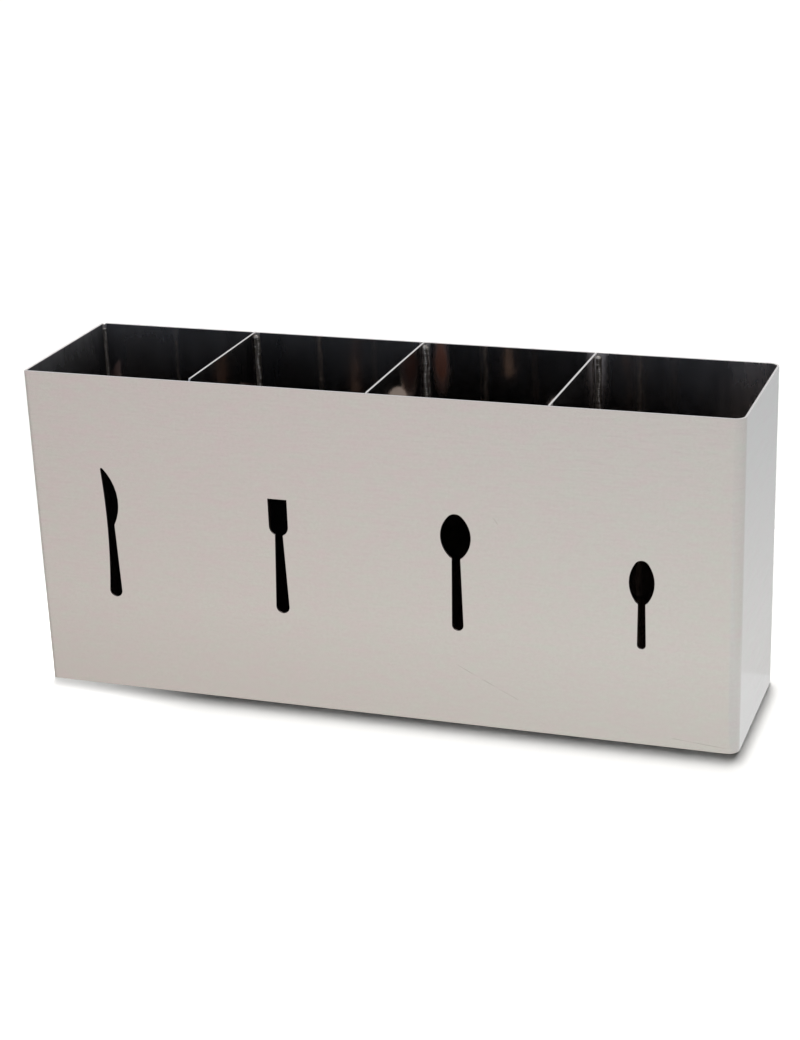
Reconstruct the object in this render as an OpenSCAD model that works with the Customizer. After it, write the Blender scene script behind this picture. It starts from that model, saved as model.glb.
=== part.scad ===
// Four-compartment cutlery dispenser: an open-topped box of stainless sheet that stands on a counter.
// One sheet is folded into the front, the right side and the back. A flat panel closes the left end,
// a plate closes the bottom, and three dividers stand inside. Fillet welds hold the sheets together.
// The front has four silhouettes cut through it: a knife, a fork, a tablespoon and a teaspoon.
// The origin is on the counter under the middle of the box. +X is to the right and +Y to the back.

/* [Body] */
// Outside width of the box, left to right
body_w = 400; // [340:1:520]
// Outside depth of the box, front to back
body_d = 100; // [70:1:160]
// Height of the box from the counter to the rim
body_h = 185; // [150:1:260]
// Thickness of the stainless sheet
sheet = 1.2; // [0.8:0.1:2]
// Outside radius of the two folded corners on the right
bend_r = 6; // [2.5:0.5:14]
// Fit-up gap left between two sheets before they are welded
fit_gap = 0.1; // [0.05:0.05:0.3]
// Radius ground onto the upright edges of the left end
ground_r = 0.8; // [0.2:0.1:0.8]

/* [Base] */
// How far the underside of the base plate stands above the counter
base_recess = 2; // [2:0.5:12]

/* [Dividers] */
// How far the left divider stands from its even place, to the right if positive
left_divider_shift = -3.3; // [-12:0.1:12]
// How far the middle divider stands from its even place
middle_divider_shift = -0.7; // [-12:0.1:12]
// How far the right divider stands from its even place
right_divider_shift = -1; // [-12:0.1:12]
// Radius of each divider's front corner at the rim
divider_corner_r = 2; // [0.5:0.5:8]

/* [Welds] */
// Leg of the upright fillet beads beside the dividers
divider_bead_leg = 2.6; // [1.5:0.1:5]
// Leg of the thinner upright beads inside the left panel
corner_bead_leg = 1.4; // [1:0.1:4]
// How far below the rim the upright beads at the front end
front_bead_stop = 0.5; // [0:0.5:12]
// How far below the rim the upright beads at the back end
rear_bead_stop = 2.5; // [0:0.5:12]
// Leg of the beads under the base plate
base_bead_leg = 1.5; // [0.8:0.1:1.8]
// Share of each base edge that its bead covers
base_bead_cover = 0.9; // [0.3:0.05:0.9]

/* [Silhouettes] */
// Height of the silhouettes' lower ends above the counter
cut_z = 55.2; // [25:0.1:65]

/* [Knife] */
// Length of the knife, from the round end of its handle to the tip of its blade
knife_l = 76.5; // [70:0.5:82]
// Width of the handle at its round end
knife_end_w = 7.5; // [6:0.1:9]
// Distance from the handle's centre line to the neck, where the cutting edge begins
knife_neck_x = 2.4; // [2:0.1:3]
// Radius of the long hollow curve along the knife's back
knife_back_r = 385; // [300:5:600]
// Height at which that curve comes nearest to the centre line
knife_waist_h = 41; // [36:0.5:46]
// Radius of the belly of the blade
knife_belly_r = 28; // [25:0.5:34]
// Distance of the belly's widest point from the centre line
knife_belly_x = 5.8; // [5:0.1:7]
// Radius of the blade's rounded tip
knife_tip_r = 0.8; // [0.4:0.1:1.2]
// How far the knife's centre line stands from the middle of its compartment
knife_shift = -3.9; // [-20:0.1:20]

/* [Fork] */
// Length of the fork
fork_l = 66.7; // [55:0.1:85]
// Width of the head
fork_head_w = 11.1; // [8:0.1:16]
// Height of the middle of the head's round shoulders
fork_shoulder_h = 51; // [42:0.5:54]
// Width of the handle at its round end
fork_end_w = 7.8; // [5:0.1:10]
// Width of the neck
fork_neck_w = 4.5; // [3:0.1:6]
// How far the fork's centre line stands from the middle of its compartment
fork_shift = -2; // [-20:0.1:20]

/* [Tablespoon] */
// Length of the tablespoon
tablespoon_l = 66.8; // [55:0.1:85]
// Length of its bowl
tablespoon_bowl_l = 25.8; // [20:0.1:32]
// Width of its bowl
tablespoon_bowl_w = 17; // [13:0.1:19]
// Radius of the two long sides of its bowl
tablespoon_side_r = 16; // [15:0.5:19]
// Width of its handle at the round end
tablespoon_end_w = 6.45; // [5:0.05:8]
// Width of its neck
tablespoon_neck_w = 4.75; // [3:0.05:5.5]
// How far its centre line stands from the middle of its compartment
tablespoon_shift = -1.9; // [-20:0.1:20]

/* [Teaspoon] */
// Length of the teaspoon
teaspoon_l = 49.8; // [40:0.1:70]
// Length of its bowl
teaspoon_bowl_l = 24.8; // [20:0.1:30]
// Width of its bowl
teaspoon_bowl_w = 13.7; // [11:0.1:17]
// Radius of the two long sides of its bowl
teaspoon_side_r = 18.5; // [16:0.5:22]
// Width of its handle at the round end
teaspoon_end_w = 4.7; // [4:0.05:6]
// Width of its neck
teaspoon_neck_w = 3.95; // [3:0.05:4.5]
// How far its centre line stands from the middle of its compartment
teaspoon_shift = -1.1; // [-20:0.1:20]

/* [Hidden] */

$fn = 96;

// Colours of the brushed sheet and of the weld metal
steel = "#c6bfb8";
weld_metal = "#a9a6a2";

// Number of compartments between the left panel and the right side
compartments = 4;
// How far a cutting body reaches past the face that it cuts
overshoot = 1;
// An arc takes a new point at least this often, in degrees of turn and in mm of length
arc_turn = 9;
arc_chord = 4;
// Points closer than this are one point
same_point = 0.001;

// Faces that the pieces meet at
left_x = -body_w / 2;
right_x = body_w / 2;
inner_left_x = left_x + sheet;
inner_right_x = right_x - sheet;
inner_back_y = body_d / 2 - sheet;
base_top = base_recess + sheet;
inner_w = inner_right_x - inner_left_x;
inner_d = 2 * inner_back_y;

// Evenly spaced dividers would stand this far apart, middle to middle
divider_pitch = (inner_w - (compartments - 1) * sheet) / compartments + sheet;
divider_shifts = [left_divider_shift, middle_divider_shift, right_divider_shift];

// Middle plane of divider i, counted from the left
function divider_x(i) = inner_left_x - sheet / 2 + (i + 1) * divider_pitch + divider_shifts[i];

// Middle of compartment i, between the faces that bound it
function compartment_left(i) = i == 0 ? inner_left_x : divider_x(i - 1) + sheet / 2;
function compartment_right(i) = i == compartments - 1 ? inner_right_x : divider_x(i) - sheet / 2;
function compartment_mid(i) = (compartment_left(i) + compartment_right(i)) / 2;

// Plan of the box at a depth in from its outer skin: square on the left, folded corners on the right
module folded_plan(inset, from_x) {
  corner_r = bend_r - inset;
  half_d = body_d / 2 - inset;
  end_x = right_x - inset;
  translate([from_x, -half_d]) square([end_x - corner_r - from_x, 2 * half_d]);
  translate([from_x, corner_r - half_d]) square([end_x - from_x, 2 * (half_d - corner_r)]);
  for (side = [-1, 1])
    translate([end_x - corner_r, side * (half_d - corner_r)]) circle(r = corner_r);
}

// Stands an outline on the front, with its centre line at x, as a body that cuts right through the sheet
module cut_through_front(x, outline) {
  translate([x, -body_d / 2 + sheet + overshoot, cut_z])
    rotate([90, 0, 0])
      linear_extrude(height = sheet + 2 * overshoot) polygon(outline);
}

// Points along an arc round c, ends included, close enough together for its turn and for its length
function arc(c, r, from, to) =
  let (
    sweep = to - from,
    steps = ceil(max(abs(sweep) / arc_turn, abs(sweep) * PI / 180 * r / arc_chord))
  )
  [for (i = [0:steps]) let (angle = from + sweep * i / steps) c + r * [cos(angle), sin(angle)]];

// A closed outline without the points at which one arc repeats the end of the arc before it
function joined(points) =
  let (count = len(points))
  [for (i = [0:count - 1]) if (norm(points[i] - points[(i + count - 1) % count]) > same_point) points[i]];

// The right side of an outline, followed by its mirror image on the left
function both_sides(right_side) =
  joined(concat(right_side, [for (i = [len(right_side) - 1:-1:0]) [-right_side[i][0], right_side[i][1]]]));

// Angle at which a line from point p touches the circle of radius r round the origin, on its right
function touch_angle(p, r) = atan2(p[1], p[0]) - acos(r / norm(p));

// Direction from point a to point b
function heading(a, b) = atan2(b[1] - a[1], b[0] - a[0]);

// Where the circle round c has the given x, in its lower right quarter, as an angle
function low_angle(c, r, x) = -acos((x - c[0]) / r);

function on_circle(c, r, angle) = c + r * [cos(angle), sin(angle)];

// Right half of a handle's round end, up to where the straight side to the neck touches it
function handle_end(end_w, neck) =
  let (end_r = end_w / 2, end_c = [0, end_r])
  arc(end_c, end_r, -90, touch_angle(neck - end_c, end_r));

// Right side of a spoon. The bowl is an oval of four arcs that run smoothly into each other.
function spoon_side(length, bowl_l, bowl_w, side_r, end_w, neck_w) =
  let (
    half_l = bowl_l / 2,
    half_w = bowl_w / 2,
    bowl_y = length - half_l,
    end_r = (2 * side_r * half_w - half_w * half_w - half_l * half_l) / (2 * (side_r - half_l)),
    low_c = [0, bowl_y - half_l + end_r],
    high_c = [0, bowl_y + half_l - end_r],
    side_c = [half_w - side_r, bowl_y],
    join = heading(side_c, high_c),
    neck_angle = low_angle(low_c, end_r, neck_w / 2)
  )
  concat(
    handle_end(end_w, on_circle(low_c, end_r, neck_angle)),
    arc(low_c, end_r, neck_angle, -join),
    arc(side_c, side_r, -join, join),
    arc(high_c, end_r, join, 90)
  );

// Right side of the fork, whose head has round shoulders and a straight top without tines
function fork_side() =
  let (
    head_r = fork_head_w / 2,
    head_c = [0, fork_shoulder_h],
    neck_angle = low_angle(head_c, head_r, fork_neck_w / 2)
  )
  concat(
    handle_end(fork_end_w, on_circle(head_c, head_r, neck_angle)),
    arc(head_c, head_r, neck_angle, 0),
    [[head_r, fork_l]]
  );

// Knife. Its back is one long hollow arc that touches the handle's round end. The belly is a tighter arc,
// placed so that the tip, rounded where the two arcs close in, ends at the knife's length.
function knife_outline() =
  let (
    end_r = knife_end_w / 2,
    end_c = [0, end_r],
    back_x = -sqrt(pow(knife_back_r + end_r, 2) - pow(knife_waist_h - end_r, 2)),
    back_c = [back_x, knife_waist_h],
    tip_y = knife_l - knife_tip_r,
    tip_x = back_x + sqrt(pow(knife_back_r + knife_tip_r, 2) - pow(tip_y - knife_waist_h, 2)),
    tip_c = [tip_x, tip_y],
    belly_x = knife_belly_x - knife_belly_r,
    belly_y = tip_y - sqrt(pow(knife_belly_r - knife_tip_r, 2) - pow(tip_x - belly_x, 2)),
    belly_c = [belly_x, belly_y],
    neck_angle = low_angle(belly_c, knife_belly_r, knife_neck_x),
    neck = on_circle(belly_c, knife_belly_r, neck_angle),
    belly_end = heading(belly_c, tip_c),
    back_top = heading(back_c, tip_c),
    back_foot = heading(back_c, end_c)
  )
  joined(concat(
    arc(end_c, end_r, back_foot - 180, touch_angle(neck - end_c, end_r)),
    arc(belly_c, knife_belly_r, neck_angle, belly_end),
    arc(tip_c, knife_tip_r, belly_end, back_top + 180),
    arc(back_c, knife_back_r, back_top, back_foot)
  ));

// Quarter-round bead that stands in the corner of two faces, flat below and domed above
module upright_bead(length, leg) {
  intersection() {
    union() {
      cylinder(r = leg, h = length - leg);
      translate([0, 0, length - leg]) sphere(r = leg);
    }
    cube([leg, leg, length]);
  }
}

// Bead with two domed ends, in two mirrored halves
module bead_run(length, leg) {
  for (half = [0, 1])
    mirror([0, 0, half]) upright_bead(length / 2, leg);
}

// Upright bead on the right of the face at x, against the front (side -1) or the back (side 1). It runs
// from the base plate to just under the rim.
module inner_corner_bead(x, side, leg) {
  stop = side > 0 ? rear_bead_stop : front_bead_stop;
  translate([x, side * inner_back_y, base_top])
    mirror([0, side > 0 ? 1 : 0, 0])
      upright_bead(body_h - stop - base_top, leg);
}

// Front, right side and back in one folded sheet, with the silhouettes cut through the front
module casing() {
  start_x = inner_left_x + fit_gap;
  tablespoon_side = spoon_side(tablespoon_l, tablespoon_bowl_l, tablespoon_bowl_w, tablespoon_side_r,
                               tablespoon_end_w, tablespoon_neck_w);
  teaspoon_side = spoon_side(teaspoon_l, teaspoon_bowl_l, teaspoon_bowl_w, teaspoon_side_r,
                             teaspoon_end_w, teaspoon_neck_w);
  color(steel)
    difference() {
      linear_extrude(height = body_h)
        difference() {
          folded_plan(0, start_x);
          folded_plan(sheet, start_x - overshoot);
        }
      cut_through_front(compartment_mid(0) + knife_shift, knife_outline());
      cut_through_front(compartment_mid(1) + fork_shift, both_sides(fork_side()));
      cut_through_front(compartment_mid(2) + tablespoon_shift, both_sides(tablespoon_side));
      cut_through_front(compartment_mid(3) + teaspoon_shift, both_sides(teaspoon_side));
    }
}

// Flat panel that closes the left end and covers the cut edges of the front and the back
module left_end_panel() {
  rear_corner = [left_x + ground_r, body_d / 2 - ground_r];
  front_corner = [rear_corner[0], -rear_corner[1]];
  color(steel)
    linear_extrude(height = body_h)
      polygon(joined(concat(
        [[inner_left_x, -body_d / 2], [inner_left_x, body_d / 2]],
        arc(rear_corner, ground_r, 90, 180),
        arc(front_corner, ground_r, 180, 270)
      )));
}

// Plate that closes the bottom, let in a little above the counter, its right corners cut to the folds
module base_plate() {
  color(steel)
    translate([0, 0, base_recess])
      linear_extrude(height = sheet)
        folded_plan(sheet + fit_gap, inner_left_x + fit_gap);
}

// Divider i stands on the base plate and ends flush with the rim, its front corner rounded off
module divider(i) {
  rear_y = inner_back_y - fit_gap;
  corner = [divider_corner_r - rear_y, body_h - divider_corner_r];
  color(steel)
    translate([divider_x(i) - sheet / 2, 0, 0])
      rotate([90, 0, 90])
        linear_extrude(height = sheet)
          polygon(concat(
            arc(corner, divider_corner_r, 90, 180),
            [[-rear_y, base_top], [rear_y, base_top], [rear_y, body_h]]
          ));
}

// Bead on the right of divider i
module divider_weld(i, side) {
  color(weld_metal) inner_corner_bead(divider_x(i) + sheet / 2, side, divider_bead_leg);
}

// Bead inside the left panel, where it meets the front or the back
module corner_weld(side) {
  color(weld_metal) inner_corner_bead(inner_left_x, side, corner_bead_leg);
}

// Four beads under the base plate, one along the middle of each wall
module base_welds() {
  color(weld_metal)
    translate([0, 0, base_recess]) {
      for (side = [-1, 1])
        translate([0, side * inner_back_y, 0])
          rotate([0, 90, 0])
            mirror([0, side > 0 ? 1 : 0, 0])
              bead_run(base_bead_cover * (inner_w - 2 * bend_r), base_bead_leg);
      for (side = [-1, 1])
        translate([side * inner_right_x, 0, 0])
          mirror([side > 0 ? 1 : 0, 0, 0])
            rotate([-90, 0, 0])
              bead_run(base_bead_cover * (inner_d - 2 * bend_r), base_bead_leg);
    }
}

casing();
left_end_panel();
base_plate();
divider(0);  // left_divider
divider(1);  // middle_divider
divider(2);  // right_divider
corner_weld(-1);  // front_corner_weld
corner_weld(1);  // rear_corner_weld
divider_weld(0, -1);  // left_divider_front_weld
divider_weld(0, 1);  // left_divider_rear_weld
divider_weld(1, -1);  // middle_divider_front_weld
divider_weld(1, 1);  // middle_divider_rear_weld
divider_weld(2, -1);  // right_divider_front_weld
divider_weld(2, 1);  // right_divider_rear_weld
base_welds();
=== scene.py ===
# %% [markdown]
# # A cutlery dispenser of welded stainless sheet
# The real thing is an open box of thin stainless sheet that stands on a counter. One strip is folded
# into the front, the right side and the back. A flat panel closes the left end, three dividers make
# four compartments, and four silhouettes cut through the front say what each compartment holds.
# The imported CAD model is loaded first. It is the frame: every sheet already has its exact size and
# place, so this lesson is about edges, welds, finishes and light.

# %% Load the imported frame
import math
import bpy
from mathutils import Matrix, Vector


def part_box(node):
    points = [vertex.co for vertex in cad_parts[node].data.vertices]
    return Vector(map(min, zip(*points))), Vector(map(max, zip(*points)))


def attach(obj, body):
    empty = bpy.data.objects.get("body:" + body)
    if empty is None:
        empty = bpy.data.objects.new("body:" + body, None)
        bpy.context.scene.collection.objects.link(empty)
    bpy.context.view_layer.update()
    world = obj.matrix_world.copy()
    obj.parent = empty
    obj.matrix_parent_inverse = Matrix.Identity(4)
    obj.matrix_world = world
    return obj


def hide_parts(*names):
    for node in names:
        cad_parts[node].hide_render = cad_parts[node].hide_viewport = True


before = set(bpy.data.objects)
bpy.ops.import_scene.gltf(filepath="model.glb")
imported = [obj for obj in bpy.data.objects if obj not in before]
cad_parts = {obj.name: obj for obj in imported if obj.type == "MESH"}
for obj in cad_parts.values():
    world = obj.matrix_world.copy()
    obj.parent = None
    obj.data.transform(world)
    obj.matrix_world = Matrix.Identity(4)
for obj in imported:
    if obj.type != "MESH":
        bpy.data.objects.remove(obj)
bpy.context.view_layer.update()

print("CAD nodes:", sorted(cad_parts))

# %% [markdown]
# ## The camera
# The photograph was taken from a little above and a little to the right. A camera solved from the
# box's edges gives the numbers below. The picture's optical axis lies below its middle, as when a
# taller frame is cropped, and the camera's vertical shift repeats that.

# %% Camera at the photograph's angle
MM = 0.001
IMAGE_H = 1040
FOCAL_PX = 2284.3
AXIS_BELOW_MIDDLE_PX = 80
CAMERA_AZIMUTH = math.radians(19.619)
CAMERA_ELEVATION = math.radians(22.341)
CAMERA_ROLL = math.radians(-2.149)
CAMERA_TARGET = Vector((-3.10, 0, 48.07)) * MM
CAMERA_DISTANCE = 1291.3 * MM
SENSOR_MM = 36
CLIP_START = 50 * MM

backward = Vector((math.sin(CAMERA_AZIMUTH) * math.cos(CAMERA_ELEVATION),
                   -math.cos(CAMERA_AZIMUTH) * math.cos(CAMERA_ELEVATION),
                   math.sin(CAMERA_ELEVATION)))
level_right = Vector((0, 0, 1)).cross(backward).normalized()
level_up = backward.cross(level_right)
right = level_right * math.cos(CAMERA_ROLL) + level_up * math.sin(CAMERA_ROLL)
up = -level_right * math.sin(CAMERA_ROLL) + level_up * math.cos(CAMERA_ROLL)

camera = bpy.data.objects.new("camera", bpy.data.cameras.new("camera"))
bpy.context.scene.collection.objects.link(camera)
camera.matrix_world = Matrix.Translation(CAMERA_TARGET + backward * CAMERA_DISTANCE) @ Matrix(
    (right, up, backward)).transposed().to_4x4()
camera.data.sensor_width = SENSOR_MM
camera.data.lens = FOCAL_PX / IMAGE_H * SENSOR_MM
camera.data.shift_y = AXIS_BELOW_MIDDLE_PX / IMAGE_H
camera.data.clip_start = CLIP_START
bpy.context.scene.camera = camera
print("camera stands at", camera.location, "with a lens of", round(camera.data.lens, 2), "mm")

# %% [markdown]
# ## Small helpers
# Three helpers serve every piece. One turns an sRGB hex colour into the linear numbers that Blender's
# sockets take. One adds a shader node with its settings and links. One deselects everything and then
# makes a single object active, because an operator works on whatever happens to be selected.

# %% Helpers for colours, nodes and selection
def linear(hex_colour):
    """An sRGB hex colour as linear RGBA."""
    parts = [int(hex_colour[i:i + 2], 16) / 255 for i in (1, 3, 5)]
    return [p / 12.92 if p <= 0.04045 else ((p + 0.055) / 1.055) ** 2.4 for p in parts] + [1.0]


def add(tree, kind, inputs=None, **settings):
    """Adds a node. Settings are its properties. Inputs maps a socket to a value or to a linked output."""
    made = tree.nodes.new(kind)
    for name, value in settings.items():
        setattr(made, name, value)
    for name, value in (inputs or {}).items():
        if isinstance(value, bpy.types.NodeSocket):
            tree.links.new(value, made.inputs[name])
        else:
            made.inputs[name].default_value = value
    return made


def activate(piece):
    """Makes one object the only selected and the active one."""
    bpy.ops.object.select_all(action="DESELECT")
    piece.select_set(True)
    bpy.context.view_layer.objects.active = piece


# %% [markdown]
# ## Sizes that come from the frame
# Nothing is measured twice: the box's outside, the sheet's thickness and the dividers' places are read
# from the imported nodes, and later pieces are placed from these values. The folds' radius is the distance
# from the box's right side to where the flat front ends.

# %% Sizes from the frame
ON_FRONT = 0.01 * MM

panel_low, panel_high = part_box("left_end_panel")
casing_low, casing_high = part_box("casing")
base_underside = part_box("base_plate")[0].z
divider_names = ["left_divider", "middle_divider", "right_divider"]
sheet = panel_high.x - panel_low.x
rim = casing_high.z
outer_right, outer_back = casing_high.x, casing_high.y
inner_left, inner_right = panel_high.x, outer_right - sheet
inner_back = outer_back - sheet
front_skin = [vertex.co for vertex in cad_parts["casing"].data.vertices
              if vertex.co.y < casing_low.y + ON_FRONT]
bend_radius = outer_right - max(point.x for point in front_skin)
weld_lines_x = [inner_left] + [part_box(name)[1].x for name in divider_names]
print("sheet", round(sheet / MM, 3), "mm, rim at", round(rim / MM, 1), "mm, folds of",
      round(bend_radius / MM, 2), "mm")
print("welds stand at x =", [round(x / MM, 1) for x in weld_lines_x], "mm")

# %% [markdown]
# ## Satin outside
# The outside is type 304 sheet with a fine satin grain along the strip. Under a white tent it shows as
# an even warm grey, with hair-fine level lines and a faint cloudiness, pinkish here and greenish there.
# The grain is a noise stretched along the sheet. Real grain lines are about 0.1 mm apart, too fine for the
# picture, so they are drawn at 0.9 mm. A finer mottle stands for the pickled surface under the grain, and
# the lowest part is painted a little darker: painted shade for the floor's shadow mirrored near the foot.

# %% Satin stainless, outside
GRAIN_PITCH = 0.9 * MM
GRAIN_LENGTH = 16 * MM
GRAIN_DEPTH = 0.003 * MM
CLOUD_LENGTH = 13 * MM
CLOUD_HEIGHT = 5 * MM
MOTTLE_SIZE = 1.4 * MM
SCUFF_HEIGHT = 55 * MM
SCUFF_SHARE = 0.3
MOTTLE_SHARE = 0.22
GRAIN_SHARE = 0.35
SATIN_ROUGHNESS = (0.15, 0.24)


def new_finish(name):
    """An empty material with a metal shader and its Object coordinates."""
    finish = bpy.data.materials.new(name)
    finish.use_nodes = True
    tree = finish.node_tree
    tree.nodes.clear()
    shader = add(tree, "ShaderNodeBsdfPrincipled", {"Metallic": 1.0})
    add(tree, "ShaderNodeOutputMaterial", {"Surface": shader.outputs["BSDF"]})
    place = add(tree, "ShaderNodeTexCoord").outputs["Object"]
    return finish, tree, shader, place


def streaks(tree, place, size, detail=2.0):
    """Noise whose blotches have the given size in metres along X, Y and Z."""
    scaled = add(tree, "ShaderNodeMapping", {"Vector": place, "Scale": [1 / s for s in size]})
    return add(tree, "ShaderNodeTexNoise", {"Vector": scaled.outputs["Vector"], "Scale": 1.0,
                                            "Detail": detail, "Roughness": 0.6}).outputs["Fac"]


def spread(tree, value, low, high, at=(0.3, 0.7)):
    """Turns a value at the first limit into low, at the second into high, and blends between them."""
    return add(tree, "ShaderNodeMapRange", {"Value": value, "From Min": at[0], "From Max": at[1],
                                            "To Min": low, "To Max": high}).outputs["Result"]


def blend_colours(tree, share, first, second):
    """Mixes two colours, given as hex or as sockets, by a share from 0 to 1."""
    mixed = add(tree, "ShaderNodeMix", {}, data_type="RGBA")
    tree.links.new(share, mixed.inputs[0])
    for socket, colour in ((6, first), (7, second)):
        if isinstance(colour, str):
            mixed.inputs[socket].default_value = linear(colour)
        else:
            tree.links.new(colour, mixed.inputs[socket])
    return mixed.outputs[2]


def emboss(tree, shader, height, depth, strength):
    """Lets a height change the way the surface mirrors. Depth is in metres for a height of one."""
    bump = add(tree, "ShaderNodeBump", {"Height": height, "Distance": depth, "Strength": strength})
    tree.links.new(bump.outputs["Normal"], shader.inputs["Normal"])


satin, tree, shader, place = new_finish("satin_stainless_304")
grain = streaks(tree, place, (GRAIN_LENGTH, GRAIN_LENGTH, GRAIN_PITCH), 4.0)
clouds = streaks(tree, place, (CLOUD_LENGTH, CLOUD_LENGTH, CLOUD_HEIGHT), 3.0)
mottle = streaks(tree, place, [MOTTLE_SIZE] * 3, 3.0)
hue = blend_colours(tree, spread(tree, clouds, 0.0, 1.0), "#cec5c2", "#c9cbc2")
dusted = blend_colours(tree, spread(tree, mottle, MOTTLE_SHARE, 0.0), hue, "#b9b3ad")
grained = blend_colours(tree, spread(tree, grain, 0.0, GRAIN_SHARE), dusted, "#d6d1ca")
height_up = add(tree, "ShaderNodeSeparateXYZ", {"Vector": place}).outputs["Z"]
# Painted shade: the satin is painted darker towards the foot of the box.
scuffed = spread(tree, height_up, SCUFF_SHARE, 0.0, (0, SCUFF_HEIGHT))
satin_tone = blend_colours(tree, scuffed, grained, "#b4aea8")
tree.links.new(spread(tree, grain, *SATIN_ROUGHNESS), shader.inputs["Roughness"])
emboss(tree, shader, grain, GRAIN_DEPTH, 0.5)
print("the satin grain is drawn", GRAIN_PITCH / MM, "mm apart and runs level")

# %% [markdown]
# ## Hairline scratches
# The photographed box has been handled: a few hairlines cross the lower front. Each is the distance from a
# short straight line, worked out with vector nodes, so the marks stay where they are on the sheet. The
# satin's clouds let them fade here and there. Three small helpers do the arithmetic, here and later.

# %% Scratches on the front
SCRATCH_HALF_WIDTH = 0.22 * MM
SCRATCH_CORE = 0.3 * SCRATCH_HALF_WIDTH
SCRATCH_SHARE = 0.6
WORN_SHARE = 0.15
WORN_CLOUDS = (0.4, 0.6)
FRONT_SCRATCHES_MM = [((45.8, 35.2), (79.9, 18.3)), ((165.1, 5.4), (193.0, 3.0)),
                      ((92.1, 6.6), (97.1, 4.2)), ((68.4, 121.5), (70.6, 118.3))]


def calc(tree, operation, *values, clamp=False):
    """One step of arithmetic with a Math node. Values are numbers or sockets."""
    return add(tree, "ShaderNodeMath", dict(enumerate(values)), operation=operation,
               use_clamp=clamp).outputs[0]


def calc_vector(tree, operation, first, second):
    """One step of arithmetic on two vectors, which gives a vector, a distance or a dot product."""
    made = add(tree, "ShaderNodeVectorMath", {0: first, 1: second}, operation=operation)
    return made.outputs["Value" if operation in ("DISTANCE", "DOT_PRODUCT") else "Vector"]


def smallest(tree, values):
    """The least of several sockets."""
    least = values[0]
    for value in values[1:]:
        least = calc(tree, "MINIMUM", least, value)
    return least


def distance_from_line(tree, place, start, end):
    """Distance of the shaded point from the straight line between two points."""
    line = end - start
    offset = calc_vector(tree, "SUBTRACT", place, start)
    share = calc_vector(tree, "DOT_PRODUCT", offset, line / line.length_squared)
    kept = add(tree, "ShaderNodeClamp", {"Value": share}).outputs[0]
    foot = add(tree, "ShaderNodeVectorMath", {0: line, "Scale": kept}, operation="SCALE").outputs[0]
    return calc_vector(tree, "DISTANCE", offset, foot)


nearest_scratch = smallest(tree, [
    distance_from_line(tree, place, Vector((x1 * MM, casing_low.y, z1 * MM)),
                       Vector((x2 * MM, casing_low.y, z2 * MM)))
    for (x1, z1), (x2, z2) in FRONT_SCRATCHES_MM])
scratched = spread(tree, nearest_scratch, SCRATCH_SHARE, 0.0, (SCRATCH_CORE, SCRATCH_HALF_WIDTH))
not_worn = spread(tree, clouds, WORN_SHARE, 1.0, WORN_CLOUDS)
scratched = calc(tree, "MULTIPLY", scratched, not_worn)
tree.links.new(blend_colours(tree, scratched, satin_tone, "#a39d97"), shader.inputs["Base Color"])
print(len(FRONT_SCRATCHES_MM), "hairlines cross the front")

# %% [markdown]
# ## Bright inside: masks
# The inside keeps the mill's bright-annealed face, which is close to a mirror. It looks nearly black,
# because what it mirrors is the dark box itself, and each bounce takes more light and turns it browner.
# This step makes only masks, numbers that say where a point lies: on the back, on the left panel, on the
# middle divider's right face, near the rim, or how far from the nearest upright weld. The marks of a weld
# differ in width from weld to weld, so that distance is counted in each weld's own width. The back and the
# front share it, because the distance is measured in plan from the nearer of the two. A noise makes the
# marks' edges ragged.

# %% Masks for the inside
RAGGED_WIDTH = 6 * MM
RAGGED_HEIGHT = 14 * MM
RAGGED_BY = 0.35
RIM_BAND_STARTS = 32 * MM
RIM_BAND_FULL = 3 * MM
BELOW_RIM_BAND = 0.35
MIDDLE_WELD = 2

bright, tree, shader, place = new_finish("bright_annealed_stainless")
split = add(tree, "ShaderNodeSeparateXYZ", {"Vector": place})
depth_from_middle = calc(tree, "ABSOLUTE", split.outputs["Y"])
plan_place = add(tree, "ShaderNodeCombineXYZ", {"X": split.outputs["X"], "Y": depth_from_middle}).outputs[0]
ragged = spread(tree, streaks(tree, place, (RAGGED_WIDTH, RAGGED_WIDTH, RAGGED_HEIGHT), 4.0),
                -RAGGED_BY, RAGGED_BY)


def widths_from_weld(widths):
    """Distance to the nearest upright weld in that weld's own width, with a ragged edge."""
    shares = [calc(tree, "DIVIDE", calc_vector(tree, "DISTANCE", plan_place, (x, inner_back, 0)), width)
              for x, width in zip(weld_lines_x, widths)]
    return calc(tree, "ADD", smallest(tree, shares), ragged)


def product(tree, first, second):
    """Two values multiplied and kept from 0 to 1."""
    return calc(tree, "MULTIPLY", first, second, clamp=True)


def between(tree, value, low, high):
    """One where the value lies between the two limits, else zero."""
    return product(tree, calc(tree, "GREATER_THAN", value, low), calc(tree, "LESS_THAN", value, high))


middle_weld_x = weld_lines_x[MIDDLE_WELD]
on_panel = between(tree, split.outputs["X"], panel_low.x, inner_left + sheet / 2)
on_back = between(tree, split.outputs["Y"], inner_back - sheet, outer_back)
right_divider_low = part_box("right_divider")[0]
third_back = product(tree, on_back, between(tree, split.outputs["X"], middle_weld_x, right_divider_low.x))
middle_face = between(tree, split.outputs["X"], middle_weld_x - sheet / 3, middle_weld_x + sheet / 10)
rim_band = (rim - RIM_BAND_STARTS, rim - RIM_BAND_FULL)
near_rim = spread(tree, split.outputs["Z"], BELOW_RIM_BAND, 1.0, rim_band)
print("the middle divider's right face lies at x =", round(middle_weld_x / MM, 1), "mm")
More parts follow.
